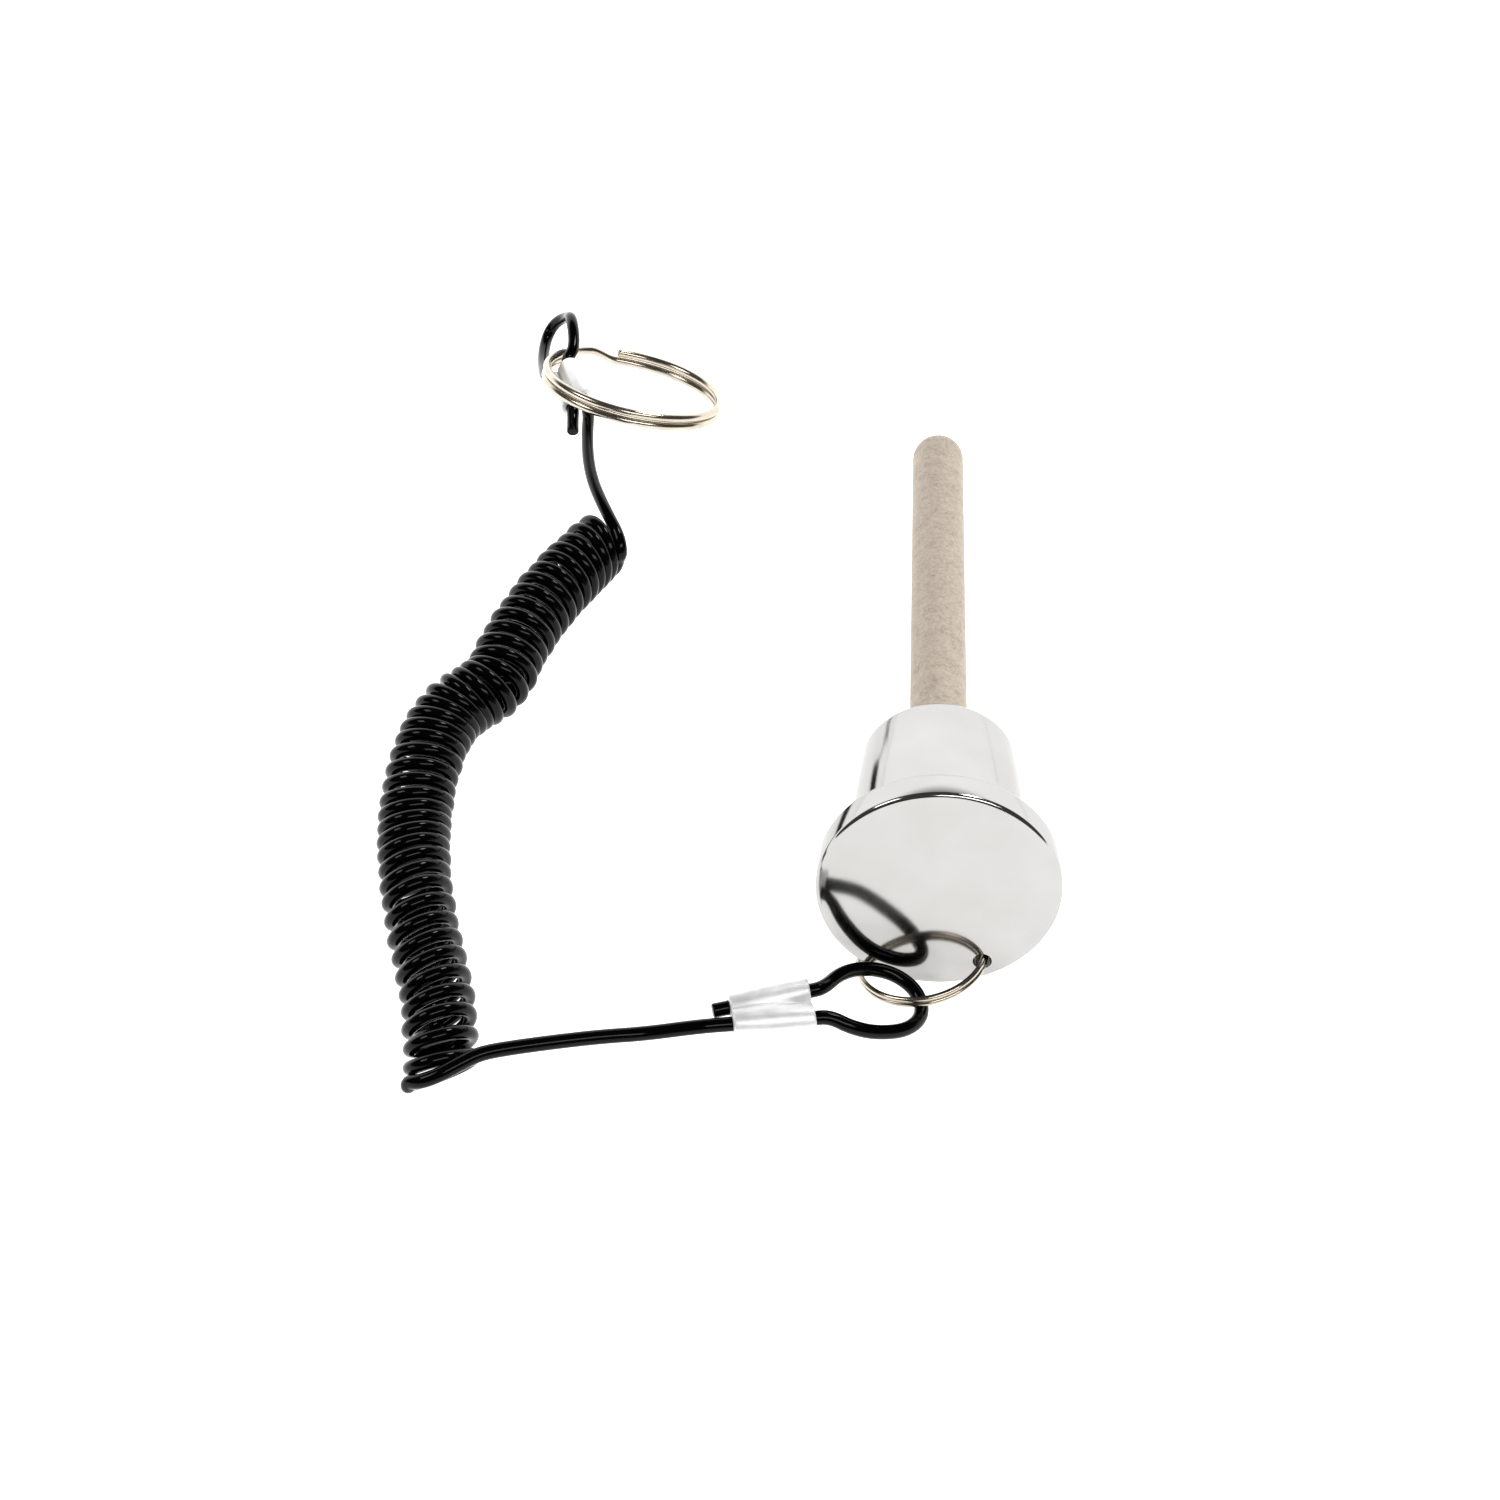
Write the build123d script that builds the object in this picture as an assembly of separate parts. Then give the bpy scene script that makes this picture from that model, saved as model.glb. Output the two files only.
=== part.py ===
"""Weight stack selector pin: a turned knob, a plain shank, and a coiled lanyard on two split rings.

Frame: millimetres, +Z up, the pin lying on the ground along +Y with its knob at -Y.
The origin is on the ground under the middle of the pin.
"""
from build123d import *
from math import asin, atan2, cos, hypot, pi, radians, sin, tan
import os

# ---- knob, one turned piece --------------------------------------------------------------
flange_radius = 19.0
flange_thickness = 7.0
flange_front_edge = 0.6
flange_back_edge = 1.0
flange_step = 5.0
neck_taper = 1.3
neck_crown = 0.35
neck_length = 25.4
neck_end_edge = 1.5
same_height = 0.001

# ---- shank, a bar with a ball end, its spigot pressed into the knob ---------------------
shank_radius = 4.7625
shank_free_length = 98.9
spigot_radius = 4.5
spigot_length = 20.0
spigot_fit = 0.01

# ---- lanyard hole in the flange, parallel to the pin ------------------------------------
lanyard_hole_radius = 1.5
lanyard_hole_inset = 3.25
lanyard_hole_angle = 61.8

# ---- split rings: one wire, two turns --------------------------------------------------
turn_gap = 0.04
jog_half_angle = 18.0
jog_steps = 8

knob_ring_wire = 0.9
knob_ring_radius = 10.1
knob_ring_lean = 167.9
knob_ring_depth = 2.4

key_ring_wire = 1.4
key_ring_radius = 17.0
key_ring_centre = (-59.2, 76.9, 7.95)
key_ring_normal = (0.211, 0.314, 0.926)
key_ring_jog_side = (-0.32, 0.93, -0.24)

# ---- crimp sleeves: two barrels that close up towards the cord's tail -------------------
sleeve_length = 12.5
sleeve_wall = 0.72
sleeve_fit = 0.03
sleeve_web = 2.2
barrel_overrun = 1.25
barrel_spread_loop_end = 4.75
barrel_spread_tail_end = 2.9

knob_sleeve_centre = (-25.0, -80.7, 9.5)
knob_sleeve_axis = (0.970, 0.243, -0.016)
knob_sleeve_side = (-0.235, 0.952, 0.197)

ring_sleeve_centre = (-71.4, 74.1, 9.4)
ring_sleeve_axis = (-0.374, 0.916, -0.143)
ring_sleeve_side = (0.770, 0.393, 0.503)

# ---- cord ------------------------------------------------------------------------------
cord_radius = 1.15
coil_radius = 6.35
cord_arc_share = 0.45
sleeve_exit_run = 2.5
sleeve_lead_run = 5.0
knob_tail = 2.3
ring_tail = 5.2

knob_loop_points = [
    (-14.6, -71.4, 8.2), (-10.6, -68.0, 5.8), (-6.0, -67.6, 4.1), (-2.4, -69.9, 2.7),
    (-1.5, -74.0, 1.9), (-4.0, -78.3, 3.2), (-8.8, -81.1, 5.6), (-12.6, -81.9, 7.6),
]
knob_lead_points = [
    (-44.0, -84.6, 7.4), (-50.6, -86.2, 8.2), (-57.8, -88.8, 9.4), (-65.0, -91.2, 10.6),
    (-69.4, -93.4, 11.4), (-73.6, -95.8, 11.0), (-77.0, -95.4, 9.0), (-78.6, -92.6, 7.6),
]
coil_points = [
    (-74.0, -94.2, 6.4), (-75.8, -80.0, 6.4), (-80.6, -65.6, 6.4), (-84.2, -51.0, 6.4),
    (-86.0, -37.0, 6.4), (-85.2, -24.4, 6.4), (-81.0, -14.1, 6.4), (-76.6, -7.0, 6.4),
    (-74.6, 1.0, 6.4), (-71.4, 11.9, 6.4), (-66.4, 22.9, 6.4), (-61.0, 32.0, 6.4),
]
ring_lead_points = [
    (-66.2, 58.5, 11.0), (-65.3, 50.5, 11.0), (-63.6, 43.0, 11.2), (-60.9, 35.4, 11.4),
    (-58.4, 30.2, 10.4), (-57.8, 27.0, 7.8),
]
ring_loop_points = [
    (-71.4, 85.7, 10.6), (-73.6, 93.0, 12.3), (-74.2, 99.2, 8.5), (-76.9, 100.7, 5.7),
    (-78.2, 99.6, 3.9), (-78.7, 95.3, 3.0), (-78.1, 88.5, 4.0),
]

# ---- sizes that follow from the flange ---------------------------------------------------
neck_root_radius = flange_radius - flange_step
neck_end_radius = neck_root_radius - neck_taper
lanyard_hole_orbit = flange_radius - lanyard_hole_inset

# ---- where the pin lies: on the flange's back edge and the ball end ---------------------
knob_face_y = -64.1
knob_length = flange_thickness + neck_length
pin_length = knob_length + shank_free_length
rim_roundings = [
    (0.0, flange_front_edge), (flange_thickness, flange_back_edge), (knob_length, neck_end_edge),
]
ball_station = pin_length - shank_radius
edge_station = flange_thickness - flange_back_edge
edge_height = flange_radius - flange_back_edge
rest_span = hypot(ball_station - edge_station, edge_height)
pin_dip = atan2(edge_height, ball_station - edge_station)
pin_dip = pin_dip + asin((flange_back_edge - shank_radius) / rest_span)
knob_face_z = ball_station * sin(pin_dip) + shank_radius

# local z runs from the knob's face to the tip, local x to the right, local y downwards
pin_axis = Vector(0, cos(pin_dip), -sin(pin_dip))
pin_place = Plane(origin=(0, knob_face_y, knob_face_z), x_dir=(1, 0, 0), z_dir=pin_axis)


def polar(radius, angle, along=0.0):
    """A point at a radius and an angle in degrees round the local z axis."""
    return Vector(radius * cos(radians(angle)), radius * sin(radians(angle)), along)


# the knob's ring stands in the lanyard hole, its wire's bow centred on the hole's axis
hole_on_face = polar(lanyard_hole_orbit, lanyard_hole_angle)
deepest_wire = max(knob_ring_depth, flange_thickness - knob_ring_depth)
wire_bow = knob_ring_radius - (knob_ring_radius**2 - deepest_wire**2) ** 0.5
ring_reach = polar(knob_ring_radius - wire_bow / 2, knob_ring_lean, knob_ring_depth)
knob_ring_centre = pin_place.from_local_coords(hole_on_face + ring_reach)
ring_upward = polar(1, knob_ring_lean + 90)
knob_ring_normal = pin_place.from_local_coords(ring_upward) - pin_place.origin
knob_ring_place = Plane(origin=knob_ring_centre, x_dir=pin_axis, z_dir=knob_ring_normal)
key_ring_place = Plane(origin=key_ring_centre, x_dir=key_ring_jog_side, z_dir=key_ring_normal)

knob_sleeve_place = Plane(origin=knob_sleeve_centre, x_dir=knob_sleeve_side, z_dir=knob_sleeve_axis)
ring_sleeve_place = Plane(origin=ring_sleeve_centre, x_dir=ring_sleeve_side, z_dir=ring_sleeve_axis)


def knob():
    """Revolved flange and crowned neck, with the shank's socket and the lanyard hole."""
    crown = (neck_root_radius + neck_end_radius) / 2 + neck_crown
    with BuildPart() as body:
        with BuildSketch(Plane.XZ):
            with BuildLine():
                face = Line((0, 0), (flange_radius, 0))
                side = Line(face @ 1, (flange_radius, flange_thickness))
                back = Line(side @ 1, (neck_root_radius, flange_thickness))
                waist = (crown, flange_thickness + neck_length / 2)
                neck = ThreePointArc(back @ 1, waist, (neck_end_radius, knob_length))
                end = Line(neck @ 1, (0, knob_length))
                Line(end @ 1, face @ 0)
            make_face()
        revolve(axis=Axis.Z)
        for height, rounding in rim_roundings:
            rims = body.edges().filter_by_position(Axis.Z, height - same_height, height + same_height)
            fillet(rims.sort_by(SortBy.RADIUS)[-1], rounding)
        with Locations((0, 0, knob_length)):
            Cylinder(spigot_radius + spigot_fit, spigot_length, mode=Mode.SUBTRACT,
                     align=(Align.CENTER, Align.CENTER, Align.MAX))
        with Locations(hole_on_face):
            Cylinder(lanyard_hole_radius, flange_thickness, mode=Mode.SUBTRACT,
                     align=(Align.CENTER, Align.CENTER, Align.MIN))
    return pin_place * body.part


def shank():
    """Round bar from the bottom of its socket to the ball end, with a shoulder on the knob."""
    start = knob_length - spigot_length
    with BuildPart() as bar:
        with BuildSketch(Plane.XZ):
            with BuildLine():
                base = Line((0, start), (spigot_radius, start))
                spigot = Line(base @ 1, (spigot_radius, knob_length))
                shoulder = Line(spigot @ 1, (shank_radius, knob_length))
                Line(shoulder @ 1, (shank_radius, ball_station))
                CenterArc((0, ball_station), shank_radius, 0, 90)
                Line((0, pin_length), base @ 0)
            make_face()
        revolve(axis=Axis.Z)
    return pin_place * bar.part


def split_ring(place, radius, wire):
    """One wire wound twice; it steps from the upper turn to the lower between its two ends."""
    half_pitch = (wire + turn_gap) / 2
    step_points = []
    for step in range(jog_steps + 1):
        share = step / jog_steps
        angle = jog_half_angle * (2 * share - 1)
        step_points.append(polar(radius, angle, half_pitch * cos(pi * share)))
    upper_plane = Plane.XY.offset(half_pitch)
    lower_plane = Plane.XY.offset(-half_pitch)
    upper = Edge.make_circle(radius, upper_plane, jog_half_angle, 360 - jog_half_angle)
    lower = Edge.make_circle(radius, lower_plane, jog_half_angle, 360 - jog_half_angle)
    jog = Edge.make_spline(step_points, tangents=[upper % 1, lower % 0])
    cut_end = Plane(origin=upper @ 0, z_dir=upper % 0) * Circle(wire / 2)
    return place * sweep(cut_end, path=Wire([upper, jog, lower]))


def barrel_point(place, side, end, beyond=0.0):
    """A point on a barrel's axis: side is +1 or -1, end +1 is the loop's and -1 the tail's."""
    loop_end = Vector(side * barrel_spread_loop_end / 2, 0, sleeve_length / 2)
    tail_end = Vector(side * barrel_spread_tail_end / 2, 0, -sleeve_length / 2)
    onward = (loop_end - tail_end).normalized() * end
    start = loop_end if end > 0 else tail_end
    return place.from_local_coords(start + onward * beyond)


def crimp_sleeve(place):
    """Two closing barrels joined by a web, cut square at both ends, with a bore in each."""
    bore_radius = cord_radius + sleeve_fit
    barrel_radius = bore_radius + sleeve_wall
    half_length = sleeve_length / 2
    wide = barrel_spread_loop_end / 2
    narrow = barrel_spread_tail_end / 2
    corners = [(-narrow, -half_length), (narrow, -half_length), (wide, half_length), (-wide, half_length)]
    web = extrude(Plane.XZ * make_face(Polyline(*corners, close=True)), sleeve_web / 2, both=True)
    barrels = []
    bores = []
    for side in (-1, 1):
        start = Vector(side * narrow, 0, -half_length)
        finish = Vector(side * wide, 0, half_length)
        overrun = (finish - start).normalized() * barrel_overrun
        axis = Line(start - overrun, finish + overrun)
        section = Plane(origin=axis @ 0, z_dir=axis % 0)
        barrels.append(extrude(section * Circle(barrel_radius), axis.length))
        bores.append(extrude(section * Circle(bore_radius), axis.length))
    span = 2 * (wide + barrel_radius)
    slab = Box(span, span, sleeve_length)
    body = (barrels[0] + barrels[1]) & slab
    return place * (body + web - bores[0] - bores[1])


def cord_run(points, radius):
    """Straight runs joined by arcs as large as the runs allow; prints the smallest arc."""
    route = [Vector(*point) for point in points]
    arcs = []
    for before, corner, after in zip(route, route[1:], route[2:]):
        shorter = min((corner - before).length, (after - corner).length)
        turn = (corner - before).get_angle(after - corner)
        arcs.append(cord_arc_share * shorter / tan(radians(turn / 2)))
    print("  arcs:", " ".join(f"{arc:.1f}" for arc in arcs), f"smallest {min(arcs) / radius:.1f} radii")
    return FilletPolyline(*route, radius=arcs)


def cord_tube(name, radius, free_points, before=None, after=None):
    """A round tube along a free run, with a straight piece inside a sleeve before or after it."""
    print(name)
    free_run = cord_run(free_points, radius)
    edges = list(free_run.edges())
    if before is not None:
        edges.insert(0, Edge.make_line(before, free_points[0]))
    if after is not None:
        edges.append(Edge.make_line(free_points[-1], after))
    path = Wire(edges)
    tube = sweep(Plane(origin=path @ 0, z_dir=path % 0) * Circle(radius), path=path)
    print(f"  length {path.length:.1f}, volume {tube.volume:.1f}, section x length "
          f"{pi * radius**2 * path.length:.1f}")
    return tube


def knob_loop():
    """From the cut tail through the sleeve, round the knob's ring and back through the sleeve."""
    place = knob_sleeve_place
    free = [barrel_point(place, 1, 1), barrel_point(place, 1, 1, sleeve_exit_run)]
    free += knob_loop_points
    free += [barrel_point(place, -1, 1, sleeve_exit_run), barrel_point(place, -1, 1)]
    tail = barrel_point(place, 1, -1, knob_tail)
    return cord_tube("knob_loop", cord_radius, free, before=tail, after=barrel_point(place, -1, -1))


def knob_lead():
    """From the sleeve down to the coil's first turn."""
    place = knob_sleeve_place
    free = [barrel_point(place, -1, -1), barrel_point(place, -1, -1, sleeve_lead_run)]
    return cord_tube("knob_lead", cord_radius, free + knob_lead_points)


def coil():
    """The coiled stretch as one full round of its outer diameter."""
    return cord_tube("coil", coil_radius, coil_points)


def ring_lead():
    """From the second sleeve down to the coil's last turn."""
    place = ring_sleeve_place
    free = [barrel_point(place, 1, -1), barrel_point(place, 1, -1, sleeve_lead_run)]
    return cord_tube("ring_lead", cord_radius, free + ring_lead_points)


def ring_loop():
    """Through the second sleeve, round the key ring and back through the sleeve to a cut tail."""
    place = ring_sleeve_place
    free = [barrel_point(place, 1, 1), barrel_point(place, 1, 1, sleeve_exit_run)]
    free += ring_loop_points
    free += [barrel_point(place, -1, 1, sleeve_exit_run), barrel_point(place, -1, 1)]
    tail = barrel_point(place, -1, -1, ring_tail)
    return cord_tube("ring_loop", cord_radius, free, before=barrel_point(place, 1, -1), after=tail)


def build():
    """Every piece by its name."""
    return {
        "knob": knob(),
        "shank": shank(),
        "knob_ring": split_ring(knob_ring_place, knob_ring_radius, knob_ring_wire),
        "knob_sleeve": crimp_sleeve(knob_sleeve_place),
        "knob_loop": knob_loop(),
        "knob_lead": knob_lead(),
        "coil": coil(),
        "ring_lead": ring_lead(),
        "ring_loop": ring_loop(),
        "ring_sleeve": crimp_sleeve(ring_sleeve_place),
        "key_ring": split_ring(key_ring_place, key_ring_radius, key_ring_wire),
    }


def main():
    os.makedirs("parts", exist_ok=True)
    for name, piece in build().items():
        piece.label = name
        export_step(piece, f"parts/{name}.step")


if __name__ == "__main__":
    main()
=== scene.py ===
import math

import bmesh
import bpy
import numpy as np
from mathutils import Euler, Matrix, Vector


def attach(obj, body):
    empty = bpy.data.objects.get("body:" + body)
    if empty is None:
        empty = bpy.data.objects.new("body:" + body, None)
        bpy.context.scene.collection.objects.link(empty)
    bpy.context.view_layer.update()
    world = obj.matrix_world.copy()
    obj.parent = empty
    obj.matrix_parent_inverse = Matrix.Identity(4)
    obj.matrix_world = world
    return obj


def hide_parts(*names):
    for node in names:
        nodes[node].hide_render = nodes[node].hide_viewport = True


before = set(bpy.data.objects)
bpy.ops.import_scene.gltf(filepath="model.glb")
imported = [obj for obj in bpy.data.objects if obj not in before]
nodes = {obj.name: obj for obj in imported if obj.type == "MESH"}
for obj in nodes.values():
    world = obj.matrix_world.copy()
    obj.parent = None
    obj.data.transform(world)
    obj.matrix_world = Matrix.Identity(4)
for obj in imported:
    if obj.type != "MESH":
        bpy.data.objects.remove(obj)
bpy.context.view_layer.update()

print("frame loaded:", len(nodes), "nodes")


# a shader socket that takes the ordinary signs: each one adds a Math node
class Signal:
    def __init__(self, finish, socket):
        self.finish, self.socket = finish, socket

    def math(self, operation, first, second):
        return self.finish.node("ShaderNodeMath", {"operation": operation}, {0: first, 1: second})

    def __add__(self, other):
        return self.math("ADD", self, other)

    def __radd__(self, other):
        return self.math("ADD", other, self)

    def __mul__(self, other):
        return self.math("MULTIPLY", self, other)

    def __rmul__(self, other):
        return self.math("MULTIPLY", other, self)


# a material or world by name, with the plain numbers of its shader set on the shader itself
class Finish:
    def __init__(self, name, owner=None, shader="Principled BSDF", **plain):
        self.owner = owner or bpy.data.materials.new(name)
        self.owner.use_nodes = True
        self.tree = self.owner.node_tree
        self.shader = self.tree.nodes[shader]
        for socket, value in plain.items():
            self.shader.inputs[socket.replace("_", " ")].default_value = value

    # a node of any type: its settings first, then the values or links of its inputs
    def node(self, kind, settings=None, values=None, output=0):
        made = self.tree.nodes.new(kind)
        for name, value in (settings or {}).items():
            if name == "stops":
                ramp = made.color_ramp
                while len(ramp.elements) < len(value):
                    ramp.elements.new(0.5)
                for element, (place, colour) in zip(ramp.elements, value):
                    element.position, element.color = place, (*colour, 1)
            else:
                setattr(made, name, value)
        for name, value in (values or {}).items():
            if isinstance(value, Signal):
                self.tree.links.new(value.socket, made.inputs[name])
            else:
                made.inputs[name].default_value = value
        return Signal(self, made.outputs[output])

    # the object's own coordinates, seen from a place, turn and scale
    def place(self, location=(0, 0, 0), rotation=(0, 0, 0), scale=(1, 1, 1)):
        seen = self.node("ShaderNodeTexCoord", output="Object")
        return self.node("ShaderNodeMapping", {"vector_type": "TEXTURE"},
                         {"Vector": seen, "Location": location, "Rotation": rotation, "Scale": scale})

    def noise(self, vector, scale, detail, roughness=0.5):
        return self.node("ShaderNodeTexNoise", None,
                         {"Vector": vector, "Scale": scale, "Detail": detail, "Roughness": roughness})

    def ramp(self, factor, *stops):
        return self.node("ShaderNodeValToRGB", {"stops": stops}, {"Fac": factor})

    def bump(self, height, distance, strength):
        return self.node("ShaderNodeBump", None,
                         {"Height": height, "Distance": distance, "Strength": strength})

    # links signals to the shader's sockets and hands back the finished material or world
    def feed(self, **links):
        for socket, signal in links.items():
            self.tree.links.new(signal.socket, self.shader.inputs[socket.replace("_", " ")])
        return self.owner


# a grid of points, rows by columns, as a smooth mesh object; each row may close on itself
def gridPiece(name, points, material, closeRows=True):
    rows, columns = points.shape[:2]
    index = np.arange(rows * columns).reshape(rows, columns)
    if closeRows:
        index = np.hstack([index, index[:, :1]])
    corners = np.stack([index[:-1, :-1], index[:-1, 1:], index[1:, 1:], index[1:, :-1]], axis=-1)
    mesh = bpy.data.meshes.new(name)
    mesh.from_pydata(points.reshape(-1, 3).tolist(), [], corners.reshape(-1, 4).tolist())
    mesh.polygons.foreach_set("use_smooth", np.full(len(mesh.polygons), True))
    mesh.materials.append(material)
    piece = bpy.data.objects.new(name, mesh)
    bpy.context.scene.collection.objects.link(piece)
    return piece


# every vector divided by its own length
def unit(vectors):
    vectors = np.asarray(vectors, float)
    return vectors / np.linalg.norm(vectors, axis=-1, keepdims=True)


# a direction with its part along a unit axis taken out, at unit length
def squareTo(axis, direction):
    direction = unit(direction)
    return unit(direction - axis * (direction @ axis))


# how far along a line each of its points lies: the running sum of the steps between them
def runAlong(line):
    return np.r_[0, np.cumsum(np.linalg.norm(np.diff(line, axis=0), axis=1))]


# a line's three columns at other runs along it, in straight steps between its points
def readAt(places, run, line):
    return np.stack([np.interp(places, run, line[:, axis]) for axis in range(3)], axis=1)


# the points of a smooth line: a quadratic NURBS spline read back as a bare edge mesh
def smoothLine(name, controls, resolution=12):
    curve = bpy.data.curves.new(name, "CURVE")
    curve.dimensions = "3D"
    spline = curve.splines.new("NURBS")
    spline.points.add(len(controls) - 1)
    spline.points.foreach_set("co", np.c_[controls, np.ones(len(controls))].ravel())
    spline.order_u = 3
    spline.use_endpoint_u = True
    spline.resolution_u = resolution
    guide = bpy.data.objects.new(name, curve)
    bpy.context.scene.collection.objects.link(guide)
    bare = bpy.data.meshes.new_from_object(guide)
    line = np.zeros(len(bare.vertices) * 3)
    bare.vertices.foreach_get("co", line)
    bpy.data.objects.remove(guide)
    bpy.data.meshes.remove(bare)
    bpy.data.curves.remove(curve)
    return line.reshape(-1, 3)


# the same line with its points spread evenly, about a step apart
def evenly(line, step):
    run = runAlong(line)
    return readAt(np.linspace(0, run[-1], int(round(run[-1] / step)) + 1), run, line)


# cord: one length from tail to tail, through both sleeves, round both rings and in a long coil
cord = {
    "radius": 0.00115,                     # all sizes and places are in metres
    "coilRadius": 0.0052,                  # to the middle of the cord
    "step": 0.0005,
    "axisStep": 0.0002,
    "sides": 18,
    "pointsPerTurn": 18,
    # turns made by the time the coil has run so far from its near end
    "turnsAt": [(0.0014, 0.2), (0.0020, 0.5), (0.0044, 1), (0.0076, 2), (0.0227, 6), (0.0303, 8),
                (0.0384, 10), (0.0481, 13), (0.0591, 17), (0.0724, 21), (0.0800, 24), (0.0870, 26.8),
                (0.0935, 29.4), (0.1018, 32), (0.1115, 35), (0.1203, 38), (0.1228, 39), (0.1327, 42.75)],
    "firstTurn": 0.22,                     # where the lead has become the first turn
    # how far the turns' tops lean towards the near end, in degrees, at a run along the coil
    "leanAt": [(0, 42), (0.004, 38), (0.010, 22), (0.040, 21), (0.060, 24), (0.110, 12), (0.122, 0),
               (0.1327, -10)],
    # how far each turn is twisted about its upright, in degrees
    "twistAt": [(0, 14), (0.005, 22), (0.042, 22), (0.060, 10), (0.110, 2), (0.124, -2), (0.1327, -20)],
    # waves in the turns' radius: share of the radius, waves in a turn, start of the wave in radians
    "ripples": [(0.012, 0.37, 0), (0.008, 0.61, 1)],
    "knobSleeve": {"centre": (-0.0250, -0.0807, 0.0095), "axis": (0.970, 0.243, -0.016),
                   "side": (-0.235, 0.952, 0.197)},
    "ringSleeve": {"centre": (-0.0714, 0.0741, 0.0094), "axis": (-0.374, 0.916, -0.143),
                   "side": (0.770, 0.393, 0.503)},
    "sleeveLength": 0.0125,
    "spreadLoopEnd": 0.00475,              # between the two barrels' axes at the loop's mouth
    "spreadTailEnd": 0.0029,
    # how far the cord still runs straight beyond a sleeve, on its way to the loop, the lead or the tail
    "beyondLoop": 0.0025,
    "beyondLead": 0.0050,
    "beyondKnobTail": 0.0023,
    "beyondRingTail": 0.0012,
    "knobLoop": [(-0.0146, -0.0714, 0.0082), (-0.0106, -0.0680, 0.0058), (-0.0060, -0.0676, 0.0041),
                 (-0.0024, -0.0699, 0.0027), (-0.0015, -0.0740, 0.0019), (-0.0040, -0.0783, 0.0032),
                 (-0.0088, -0.0811, 0.0056), (-0.0126, -0.0819, 0.0076)],
    "knobLead": [(-0.0440, -0.0846, 0.0074), (-0.0506, -0.0862, 0.0082), (-0.0580, -0.0884, 0.0090),
                 (-0.0652, -0.0908, 0.0098), (-0.0684, -0.0921, 0.0100), (-0.0712, -0.0941, 0.0098),
                 (-0.0738, -0.0955, 0.0090), (-0.0766, -0.0962, 0.0080), (-0.0788, -0.0952, 0.0066)],
    "coil": [(-0.0740, -0.0942, 0.0064), (-0.0758, -0.0800, 0.0064), (-0.0806, -0.0656, 0.0064),
             (-0.0842, -0.0510, 0.0064), (-0.0860, -0.0370, 0.0064), (-0.0856, -0.0230, 0.0064),
             (-0.0830, -0.0135, 0.0064), (-0.0771, -0.0078, 0.0064), (-0.0754, -0.0040, 0.0064),
             (-0.0746, 0.0015, 0.0064), (-0.0714, 0.0119, 0.0064), (-0.0664, 0.0229, 0.0064),
             (-0.0610, 0.0320, 0.0064)],
    "ringLead": [(-0.0571, 0.0271, 0.0082), (-0.0577, 0.0294, 0.0104), (-0.0606, 0.0351, 0.0114),
                 (-0.0636, 0.0430, 0.0112), (-0.0653, 0.0505, 0.0110), (-0.0662, 0.0585, 0.0110)],
    "ringLoop": [(-0.0712, 0.0857, 0.0106), (-0.0724, 0.0930, 0.0123), (-0.0738, 0.0981, 0.0092),
                 (-0.0765, 0.1001, 0.0064), (-0.0782, 0.0996, 0.0039), (-0.0787, 0.0953, 0.0030),
                 (-0.0781, 0.0885, 0.0040)],
    "ringTail": [(-0.0697, 0.0656, 0.0089), (-0.0694, 0.0622, 0.0084)],
}


# a sleeve's axis and the direction across its two barrels, square to each other
def sleeveAxes(place):
    axis = unit(place["axis"])
    return axis, squareTo(axis, place["side"])


# a point on a barrel's axis: the sleeve's centre, half the spread to side +1 or -1, half the length to
# end +1 (the loop's mouth) or -1 (the tail's), and then further on along the barrel's own slant
def barrelPoint(place, side, end, beyond=0.0):
    centre = np.array(place["centre"])
    axis, across = sleeveAxes(place)
    loopEnd = centre + across * side * cord["spreadLoopEnd"] / 2 + axis * cord["sleeveLength"] / 2
    tailEnd = centre + across * side * cord["spreadTailEnd"] / 2 - axis * cord["sleeveLength"] / 2
    onward = unit(loopEnd - tailEnd) * end
    return (loopEnd if end > 0 else tailEnd) + onward * beyond


# the cord's way out of one barrel's mouth, round the loop and back down the other barrel
def roundLoop(place, loop):
    return [barrelPoint(place, 1, 1), barrelPoint(place, 1, 1, cord["beyondLoop"]), *loop,
            barrelPoint(place, -1, 1, cord["beyondLoop"]), barrelPoint(place, -1, 1),
            barrelPoint(place, -1, -1)]


# the coil's turns: the axis point, plus the radius times the sine of the turn across and its cosine
# along a leaning upright
def coilPoints():
    axis = evenly(smoothLine("coilAxis", cord["coil"]), cord["axisStep"])
    run = runAlong(axis)
    places, turns = np.array(cord["turnsAt"]).T
    count = int((turns[-1] - cord["firstTurn"]) * cord["pointsPerTurn"]) + 1
    wanted = np.linspace(cord["firstTurn"], turns[-1], count)
    at = np.interp(wanted, turns, places * run[-1] / places[-1])
    centre = readAt(at, run, axis)
    along = unit(readAt(at, run, np.gradient(axis, axis=0)))
    across = unit(np.cross(along, (0, 0, 1)))
    upright = np.cross(across, along)
    lean = np.radians(np.interp(at, *np.array(cord["leanAt"]).T))[:, None]
    twist = np.radians(np.interp(at, *np.array(cord["twistAt"]).T))[:, None]
    upright = upright * np.cos(lean) - along * np.sin(lean)
    across = across * np.cos(twist) + along * np.sin(twist)
    centre = centre - np.array((0, 0, 1)) * cord["coilRadius"] * (1 - np.cos(lean))  # sunk to the floor
    turn = 2 * math.pi * wanted[:, None]
    uneven = sum((share * np.sin(turn * waves + start) for share, waves, start in cord["ripples"]), 1)
    return centre + cord["coilRadius"] * uneven * (np.sin(-turn) * across + np.cos(turn) * upright)


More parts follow.
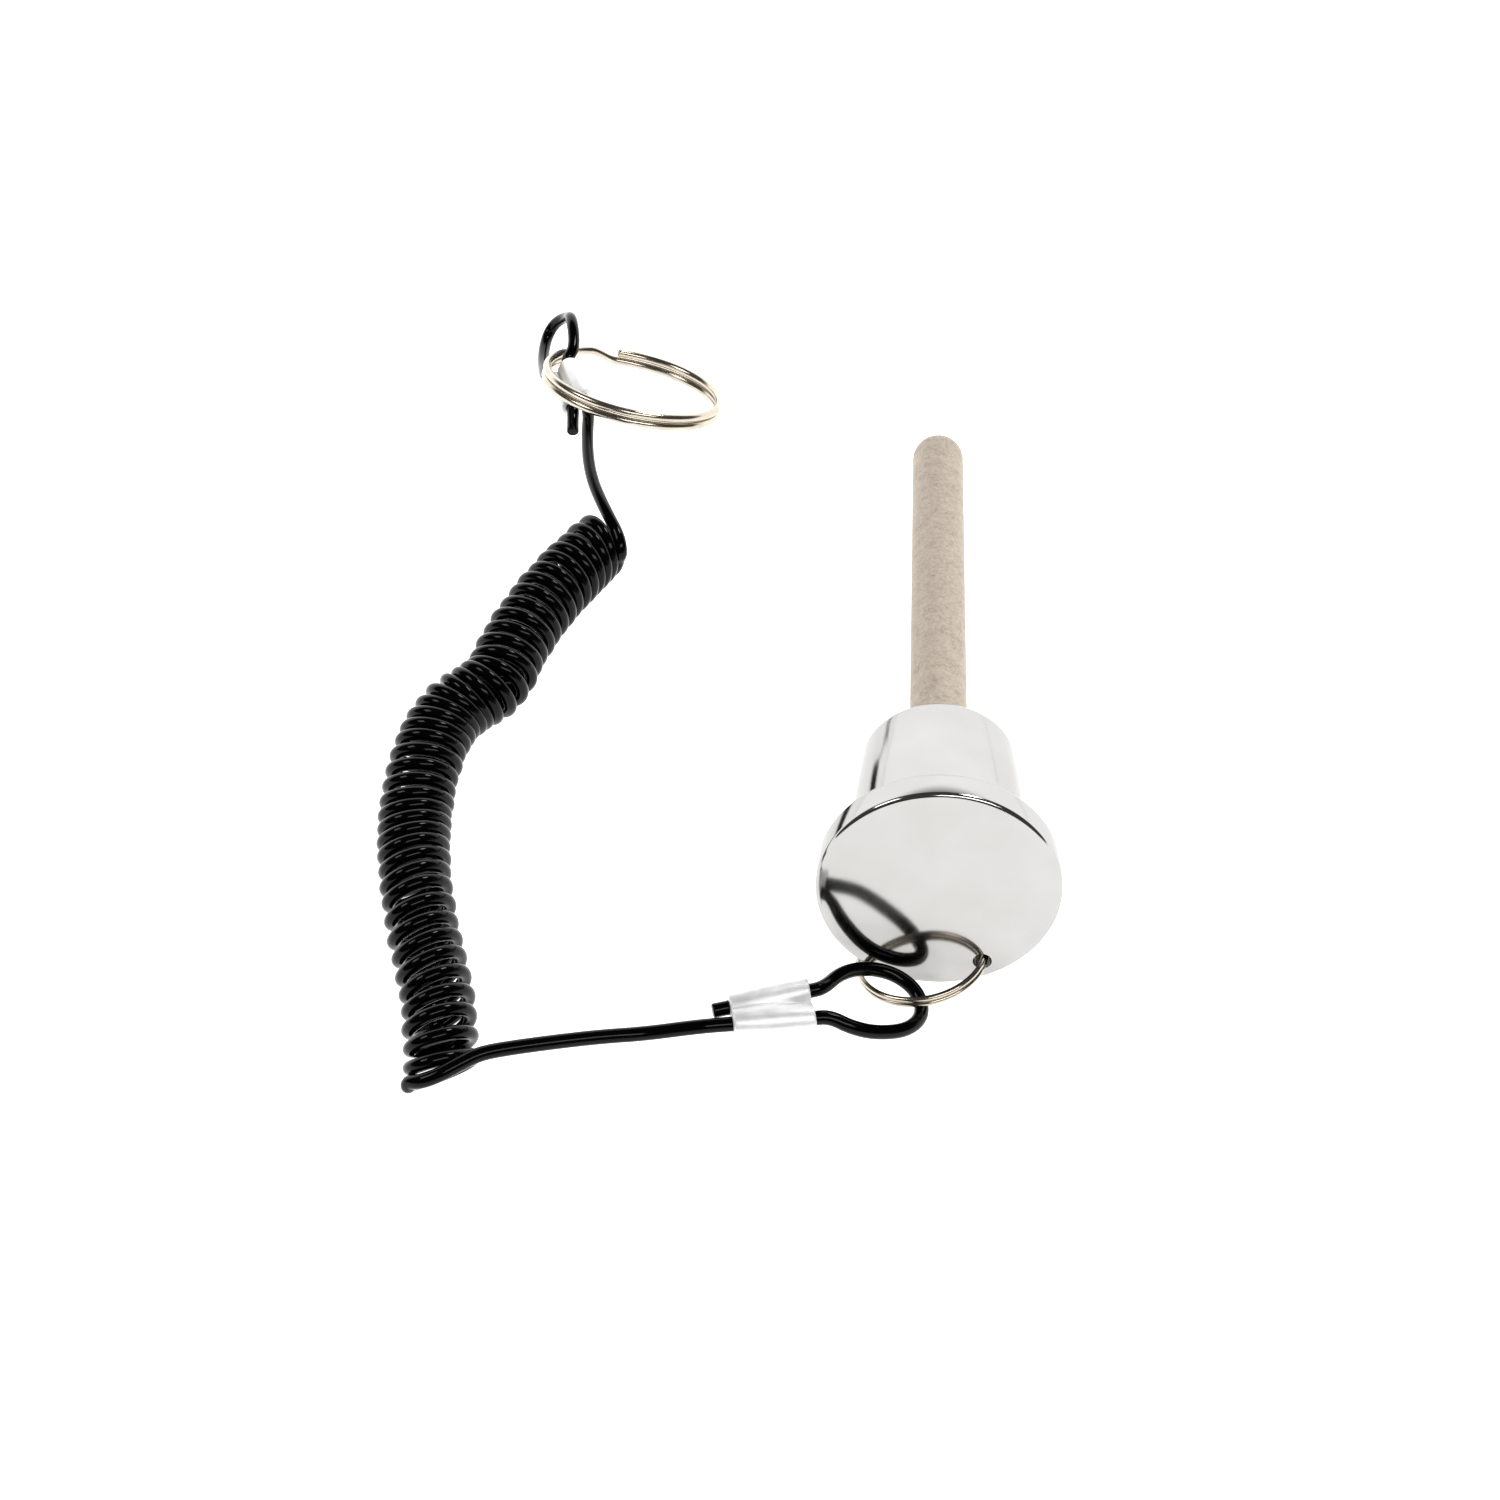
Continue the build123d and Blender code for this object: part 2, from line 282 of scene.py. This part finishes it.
# how a tube closes: a rounded edge, then rings that shrink to its middle
tubeEnd = {
    "steps": 5,
    "round": 0.0003,
    "narrowing": [0.6, 0.25, 0.001],       # the last rings' radius, in shares of the tube's
    "rise": [1.05, 1.08, 1.1],             # how far out they stand, in shares of the round
    "aside": (0.3, 0.2, 1.0),              # a direction that neither line sets out along
}


# a round tube along stations: at each one a circle on two across-vectors, each across-vector being
# the last one with its part along the new tangent taken out; both ends close in a small rounding
def tubeGrid(stations, radius, sides):
    tangents = unit(np.gradient(stations, axis=0))
    across = np.zeros_like(tangents)
    across[0] = unit(np.cross(tangents[0], tubeEnd["aside"]))
    for i in range(1, len(tangents)):
        across[i] = unit(across[i - 1] - tangents[i] * (across[i - 1] @ tangents[i]))
    other = np.cross(tangents, across)
    angle = np.linspace(0, 2 * math.pi, sides, endpoint=False)
    circle = across[:, None] * np.cos(angle)[:, None] + other[:, None] * np.sin(angle)[:, None]
    rows = stations[:, None] + circle * radius
    bend = np.linspace(0, math.pi / 2, tubeEnd["steps"] + 1)[1:]
    inward = np.r_[radius - tubeEnd["round"] * (1 - np.cos(bend)), radius * np.array(tubeEnd["narrowing"])]
    onward = np.r_[tubeEnd["round"] * np.sin(bend), tubeEnd["round"] * np.array(tubeEnd["rise"])]
    first = stations[0] - tangents[0] * onward[:, None]
    last = stations[-1] + tangents[-1] * onward[:, None]
    head = (first[:, None] + circle[0] * inward[:, None, None])[::-1]
    tail = last[:, None] + circle[-1] * inward[:, None, None]
    return np.concatenate([head, rows, tail])


# key ring: one wire wound twice; it steps from the upper turn to the lower one in a short jog
keyRing = {
    "centre": (-0.0592, 0.0769, 0.00800),
    "normal": (0.211, 0.314, 0.926),
    "jogSide": (-0.32, 0.93, -0.24),
    "radius": 0.0170,                      # to the middle of the wire
    "wire": 0.00078,                       # the wire's own radius
    "halfPitch": 0.00084,
    "jogTurn": math.radians(11),           # half the angle that the jog takes
    "jogShift": math.radians(7),           # from the jog's side towards the cord's loop
    "shortBy": math.radians(25),           # how far the lower turn's end stays back from the jog
    "steps": 420,
    "sides": 20,
}


# the wire's middle: a circle whose height falls by a half cosine over the jog
def ringStations():
    normal = unit(keyRing["normal"])
    jogSide = squareTo(normal, keyRing["jogSide"])
    jog = keyRing["jogTurn"]
    run = np.linspace(0, 4 * math.pi - 2 * jog - keyRing["shortBy"], keyRing["steps"])[:, None]
    share = np.clip((run - (2 * math.pi - 2 * jog)) / (2 * jog), 0, 1)
    height = keyRing["halfPitch"] * np.cos(math.pi * share)
    angle = keyRing["jogShift"] - jog - run
    reach = np.cos(angle) * jogSide + np.sin(angle) * np.cross(normal, jogSide)
    return np.array(keyRing["centre"]) + keyRing["radius"] * reach + height * normal


nickelLook = {
    "wearScale": 300,
    "colours": [(0.3, (0.43, 0.38, 0.30)), (0.7, (0.55, 0.50, 0.42))],
    "rough": 0.1,
    "roughByWear": 0.14,
    "bump": (0.00002, 0.3),                # its height and strength
}


# warm bright nickel wire: patches of wear set the colour, the roughness and a faint bump
def nickel(name):
    finish = Finish(name, Metallic=1.0)
    wear = finish.noise(finish.place(), nickelLook["wearScale"], detail=4)
    colour = finish.ramp(wear, *nickelLook["colours"])
    rough = nickelLook["rough"] + wear * nickelLook["roughByWear"]
    return finish.feed(Base_Color=colour, Roughness=rough, Normal=finish.bump(wear, *nickelLook["bump"]))


ringPiece = gridPiece("keyRing", tubeGrid(ringStations(), keyRing["wire"], keyRing["sides"]),
                      nickel("nickelLargeRing"))
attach(ringPiece, "large_ring")
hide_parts("key_ring")
print("key ring wound")

near, far = cord["knobSleeve"], cord["ringSleeve"]
nearRoute = [barrelPoint(near, 1, -1, cord["beyondKnobTail"]), *roundLoop(near, cord["knobLoop"]),
             barrelPoint(near, -1, -1, cord["beyondLead"]), *cord["knobLead"]]
farRoute = [*cord["ringLead"], barrelPoint(far, 1, -1, cord["beyondLead"]), barrelPoint(far, 1, -1),
            *roundLoop(far, cord["ringLoop"]), barrelPoint(far, -1, -1, cord["beyondRingTail"]),
            *cord["ringTail"]]
cordRoute = np.array([*nearRoute, *coilPoints(), *farRoute])
cordLine = evenly(smoothLine("cordRoute", cordRoute), cord["step"])

vinylLook = {
    "flowScale": 420,
    "dustScale": 2600,
    "colours": [(0.35, (0.0005, 0.0005, 0.0005)), (0.75, (0.0012, 0.0012, 0.0012))],
    "rough": 0.05,
    "roughByFlow": 0.06,
    "roughByDust": 0.03,
    "flowShare": 0.7,                      # of the bump; the dust has the rest
    "bump": (0.00004, 0.35),
}


# glossy black vinyl: a slow flow in the skin and a fine dust on it, each with its share of the bump
def vinyl():
    finish = Finish("glossyVinyl", IOR=1.22)
    seen = finish.place()
    flow = finish.noise(seen, vinylLook["flowScale"], detail=3)
    dust = finish.noise(seen, vinylLook["dustScale"], detail=2)
    colour = finish.ramp(dust, *vinylLook["colours"])
    rough = vinylLook["rough"] + flow * vinylLook["roughByFlow"] + dust * vinylLook["roughByDust"]
    height = flow * vinylLook["flowShare"] + dust * (1 - vinylLook["flowShare"])
    return finish.feed(Base_Color=colour, Roughness=rough, Normal=finish.bump(height, *vinylLook["bump"]))


# sleeves: two barrels pressed together round the two runs of cord
sleeve = {
    "sides": 96,
    "steps": 40,
    "endEdge": 0.0003,
    "endSteps": 4,
    "endShares": [0.5, 0.001],             # the end faces' rings, in shares of the outline there
    "notchRound": 0.16,                    # softens the groove between the barrels
    "leastSquare": 0.0000002,              # keeps the root real where a barrel falls short
    "knobBarrel": 0.00225,
    "ringBarrel": 0.00200,
    "swell": 0.00030,                      # how much fuller the barrels are half way along
    "rubScale": 500,
    "dentScale": 160,
    "colours": [(0.3, (0.85, 0.85, 0.85)), (0.7, (0.97, 0.97, 0.97))],
    "rough": 0.36,
    "roughByRub": 0.2,
    "rubInBump": 0.3,
    "bump": (0.0002, 0.6),
}


# soft bright aluminium: rubbed patches set the colour and roughness, and shallow dents the bump
def aluminium(name):
    finish = Finish(name, Metallic=0.6)
    seen = finish.place()
    rub = finish.noise(seen, sleeve["rubScale"], detail=4, roughness=0.6)
    dents = finish.noise(seen, sleeve["dentScale"], detail=2)
    colour = finish.ramp(rub, *sleeve["colours"])
    rough = sleeve["rough"] + rub * sleeve["roughByRub"]
    skin = finish.bump(dents + rub * sleeve["rubInBump"], *sleeve["bump"])
    return finish.feed(Base_Color=colour, Roughness=rough, Normal=skin)


# the outline at each station is two overlapping circles seen from the middle: half the spread times the
# cosine, plus the root of the barrel's radius squared less half the spread times the sine, squared; the
# ends close over a small round
def sleevePoints(place, barrel):
    centre = np.array(place["centre"])
    axis, across = sleeveAxes(place)
    other = np.cross(axis, across)
    share = np.linspace(-1, 1, sleeve["steps"])
    spread = np.interp(share, [-1, 1], [cord["spreadTailEnd"], cord["spreadLoopEnd"]])[:, None] / 2
    size = (barrel + sleeve["swell"] * (1 - share ** 2))[:, None]
    turn = np.linspace(0, 2 * math.pi, sleeve["sides"], endpoint=False)[None]
    cosine = np.sqrt(np.cos(turn) ** 2 + sleeve["notchRound"] ** 2)
    square = np.maximum(size ** 2 - (spread * np.sin(turn)) ** 2, sleeve["leastSquare"])
    reach = spread * cosine + np.sqrt(square)
    edge = sleeve["endEdge"]
    bend = np.linspace(0, math.pi / 2, sleeve["endSteps"] + 1)[1:]
    inward = (edge * (1 - np.cos(bend)))[:, None]
    closing = np.array(sleeve["endShares"])[:, None]
    tail = np.concatenate([(reach[:1] * closing)[::-1], (reach[:1] - inward)[::-1]])
    loop = np.concatenate([reach[-1:] - inward, reach[-1:] * closing])
    run = share * (cord["sleeveLength"] / 2 - edge)
    beyond = np.r_[edge * np.sin(bend), np.full(len(closing), edge)]
    run = np.r_[run[0] - beyond[::-1], run, run[-1] + beyond]
    reach = np.concatenate([tail, reach, loop])[:, :, None]
    circle = np.cos(turn)[..., None] * across + np.sin(turn)[..., None] * other
    return centre + run[:, None, None] * axis + reach * circle


for name, node, place, barrel in (("knobSleeve", "knob_sleeve", near, sleeve["knobBarrel"]),
                                  ("ringSleeve", "ring_sleeve", far, sleeve["ringBarrel"])):
    piece = gridPiece(name, sleevePoints(place, barrel), aluminium(name + "Metal"))
    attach(piece, "lanyard")
    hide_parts(node)
print("sleeves pressed")

cordPiece = gridPiece("cord", tubeGrid(cordLine, cord["radius"], cord["sides"]), vinyl())
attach(cordPiece, "lanyard")
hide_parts("knob_loop", "knob_lead", "coil", "ring_lead", "ring_loop")

# the pin's own frame: the dip turns a pattern's z onto the pin's axis, and the origin is the face's middle
pin = {
    "dip": -math.pi / 2 - math.radians(6.724),
    "origin": (0, -0.064131, 0.019583),
    "shank": {
        "mottleScale": 420,
        "pitScale": 1800,
        "pitShare": 0.6,                   # of the colour; the mottle has the rest
        "colours": [(0.36, (0.36, 0.303, 0.243)), (0.50, (0.505, 0.436, 0.356)),
                    (0.66, (0.615, 0.542, 0.455))],
        "rough": 0.55,
        "roughByMottle": 0.2,
        "bump": (0.00004, 0.6),
    },
}


# coordinates in the pin's own frame; a size under 1 squeezes the pattern along that axis
def pinPlace(finish, size=(1, 1, 1)):
    return finish.place(pin["origin"], (pin["dip"], 0, 0), size)


# tumbled stainless: matt, mottled warm grey with small darker pits
def tumbledSteel():
    look = pin["shank"]
    finish = Finish("tumbledSteel", Metallic=0.45)
    seen = pinPlace(finish)
    mottle = finish.noise(seen, look["mottleScale"], detail=4, roughness=0.6)
    pits = finish.noise(seen, look["pitScale"], detail=4, roughness=0.7)
    colour = finish.ramp(mottle * (1 - look["pitShare"]) + pits * look["pitShare"], *look["colours"])
    rough = look["rough"] + mottle * look["roughByMottle"]
    skin = finish.bump(pits + mottle, *look["bump"])
    return finish.feed(Base_Color=colour, Roughness=rough, Normal=skin)


# knob: a turned body whose flange is thinner than the solid's, with a small round where the neck begins
knob = {
    "axis": (0, 0.993121, -0.11709),
    "flangeRadius": 0.0190,
    "flangeThickness": 0.0056,
    "frontEdge": 0.0007,
    "backEdge": 0.0011,
    "neckRoot": 0.0140,
    "rootRound": 0.0010,
    "neckEnd": 0.0128,
    "neckCrown": 0.00035,
    "length": 0.0324,
    "endEdge": 0.0015,
    "socketRadius": 0.00451,
    "socketEdge": 0.0001,
    "socketDepth": 0.0202,
    "holeCentre": (0.0074427, -0.0657253, 0.0057937),
    "holeRadius": 0.0015,
    "holeRun": (-0.002, 0.009),            # the drill's ends along the axis, from the hole's centre
    "holeSides": 48,
    "sides": 160,
    "faceSteps": 12,
    "cornerSteps": 7,
    "neckSteps": 24,
    "endSteps": 4,
    "pole": 0.00001,                       # radius of the tiny rings that close on the axis
    "merge": 0.000005,                     # points nearer than this become one
    "twin": 0.0000001,                     # and rows of the profile nearer than this
    "sharpAngle": math.radians(40),
    "smearScale": 90,
    "grainScale": 900,
    "grainSize": (1, 1, 0.05),             # squeezed along the pin, so that it lies in rings
    "colours": [(0.3, (0.392, 0.386, 0.373)), (0.7, (0.420, 0.416, 0.407))],
    "rough": 0.06,
    "roughBySmear": 0.07,
    "bump": (0.000004, 0.4),
    "edgeTint": (0.75, 0.75, 0.75, 1),     # under white, so that grazing edges don't burn out
}


# turned and polished steel: fine rings round the axis, faint smears, a warm tint
def polishedSteel():
    finish = Finish("polishedSteel", Metallic=1.0, Specular_Tint=knob["edgeTint"])
    smear = finish.noise(pinPlace(finish), knob["smearScale"], detail=4)
    grain = finish.noise(pinPlace(finish, knob["grainSize"]), knob["grainScale"], detail=2)
    colour = finish.ramp(smear, *knob["colours"])
    rough = knob["rough"] + smear * knob["roughBySmear"]
    return finish.feed(Base_Color=colour, Roughness=rough, Normal=finish.bump(grain, *knob["bump"]))


# rounded corners of the profile as quarter circles, straight runs between them, and the neck as a line
# plus a crown of one half sine; each row is a radius and a distance behind the face
def knobProfile():
    quarter = np.linspace(0, math.pi / 2, knob["cornerSteps"])
    rise, sink = np.sin(quarter), 1 - np.cos(quarter)
    outer, thick, length = knob["flangeRadius"], knob["flangeThickness"], knob["length"]
    front, back, root, end = knob["frontEdge"], knob["backEdge"], knob["rootRound"], knob["endEdge"]
    bore, depth = knob["socketRadius"], knob["socketDepth"]
    share = np.linspace(0, 1, knob["neckSteps"])
    neck = knob["neckRoot"] + (knob["neckEnd"] - knob["neckRoot"]) * share
    neck = neck + knob["neckCrown"] * np.sin(math.pi * share)
    along = thick + root + (length - end - thick - root) * share
    pieces = [
        (np.linspace(knob["pole"], outer - front, knob["faceSteps"]), np.zeros(knob["faceSteps"])),
        (outer - front + front * rise, front * sink),
        (outer - back * sink, thick - back + back * rise),
        (knob["neckRoot"] + root * (1 - rise), thick + root * sink),
        (neck, along),
        (neck[-1] - end * sink, length - end + end * rise),
        (np.linspace(neck[-1] - end, bore, knob["endSteps"]), np.full(knob["endSteps"], length)),
        (np.full(2, bore), length - np.array([knob["socketEdge"], depth])),
        (np.array([knob["pole"]]), np.array([length - depth])),
    ]
    rows = np.concatenate([np.stack(piece, axis=1) for piece in pieces])
    return rows[np.r_[True, np.linalg.norm(np.diff(rows, axis=0), axis=1) > knob["twin"]]]


# a profile turned about an axis, as a grid of rows by sides: the origin, plus the row's radius times the
# cosine and sine of the turn on two across-vectors, plus its height along the axis
def turned(profile, origin, axis, sides):
    axis = unit(axis)
    across = unit(np.cross(axis, (1, 0, 0)))
    angle = np.linspace(0, 2 * math.pi, sides, endpoint=False)[:, None]
    circle = np.cos(angle) * across + np.sin(angle) * np.cross(axis, across)
    return np.array(origin) + profile[:, :1, None] * circle + profile[:, 1:, None] * axis


# merges the tiny rings on the axis to one point each and turns all faces outwards
def closePoles(mesh):
    work = bmesh.new()
    work.from_mesh(mesh)
    bmesh.ops.remove_doubles(work, verts=work.verts, dist=knob["merge"])
    bmesh.ops.recalc_face_normals(work, faces=work.faces)
    work.to_mesh(mesh)
    work.free()


# the piece less the drill, with the edges past the sharp angle marked; the drill is removed
def drilled(piece, drill):
    cut = piece.modifiers.new("hole", "BOOLEAN")
    cut.operation, cut.solver, cut.object = "DIFFERENCE", "EXACT", drill
    bpy.context.view_layer.update()
    done = bpy.data.meshes.new_from_object(piece.evaluated_get(bpy.context.evaluated_depsgraph_get()))
    piece.modifiers.clear()
    piece.data = done
    bpy.data.objects.remove(drill)
    done.set_sharp_from_angle(angle=knob["sharpAngle"])


knobBody = gridPiece("knobBody", turned(knobProfile(), pin["origin"], knob["axis"], knob["sides"]),
                     polishedSteel())
closePoles(knobBody.data)
pole, radius = knob["pole"], knob["holeRadius"]
start, stop = knob["holeRun"]
drillProfile = np.array([(pole, start), (radius, start), (radius, stop), (pole, stop)])
drill = gridPiece("drill", turned(drillProfile, knob["holeCentre"], knob["axis"], knob["holeSides"]),
                  knobBody.data.materials[0])
closePoles(drill.data)
drilled(knobBody, drill)
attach(knobBody, "pin")
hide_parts("knob")
print("knob:", len(knobBody.data.polygons), "faces")


# gives a node of the frame one material in place of its own
def finishNode(name, material):
    nodes[name].data.materials.clear()
    nodes[name].data.materials.append(material)


finishNode("shank", tumbledSteel())
finishNode("knob_ring", nickel("nickelSmallRing"))
print("finishes set")

# the floor, the air, the lamps and the camera
studio = {
    "floorSize": 3.0,
    "floorColours": [(0.3, (0.90, 0.90, 0.90)), (0.7, (0.93, 0.93, 0.93))],
    "fleckScale": 40,
    "floorGlow": 1.12,
    # the air's colour by how far a direction points back rather than up: dark, then bright low behind
    "air": [(0.55, (0.04, 0.04, 0.042)), (0.66, (1.0, 1.0, 1.01))],
    "airAim": (0, 1, -1),
    "airStrength": 2.0,
    # place, width and depth, and power
    "lamps": {"rightLamp": ((0.40, 0.50, 0.9), (0.24, 0.24), 4),
              "leftLamp": ((-0.80, -0.10, 0.9), (0.4, 0.4), 3.5),
              "frontLamp": ((0.40, -0.80, 0.95), (1.0, 0.3), 6)},
    "cameraPlace": (-0.0135, -0.3591, 0.3349),
    "cameraTurn": (math.radians(45.88), 0, math.radians(3.02)),
    "lens": 67.2,
    "sensor": 36,
}

paper = Finish("paper", Roughness=0.9, Emission_Color=(1, 1, 1, 1), Emission_Strength=studio["floorGlow"])
fleck = paper.noise(paper.place(), studio["fleckScale"], detail=2)
paper.feed(Base_Color=paper.ramp(fleck, *studio["floorColours"]))
edge = studio["floorSize"] / 2 * np.array([-1, 1])
floorGrid = np.stack(np.meshgrid(edge, edge, [0.0], indexing="ij"), axis=-1).reshape(2, 2, 3)
floor = gridPiece("floor", floorGrid[:, ::-1], paper.owner, closeRows=False)


# a soft rectangular lamp at a place, facing the origin
def softLamp(name, place, size, power):
    lamp = bpy.data.lights.new(name, "AREA")
    lamp.shape, lamp.energy = "RECTANGLE", power
    lamp.size, lamp.size_y = size
    holder = bpy.data.objects.new(name, lamp)
    holder.location = place
    holder.rotation_euler = Vector(place).to_track_quat("Z", "Y").to_euler()
    bpy.context.scene.collection.objects.link(holder)


for name, (place, size, power) in studio["lamps"].items():
    softLamp(name, place, size, power)

# the studio's air: a ramp over the direction's dot product with the aim, halved and moved up by a half
air = Finish("studioAir", bpy.data.worlds.new("studioAir"), "Background", Strength=studio["airStrength"])
direction = air.node("ShaderNodeTexCoord", output="Generated")
ahead = air.node("ShaderNodeVectorMath", {"operation": "DOT_PRODUCT"},
                 {0: direction, 1: studio["airAim"]}, output="Value")
bpy.context.scene.world = air.feed(Color=air.ramp(ahead * 0.5 + 0.5, *studio["air"]))
bpy.context.scene.view_settings.view_transform = "Standard"

eye = bpy.data.cameras.new("camera")
eye.lens, eye.sensor_width = studio["lens"], studio["sensor"]
camera = bpy.data.objects.new("camera", eye)
camera.location = studio["cameraPlace"]
camera.rotation_euler = Euler(studio["cameraTurn"])
bpy.context.scene.collection.objects.link(camera)
bpy.context.scene.camera = camera

print("scene ready")
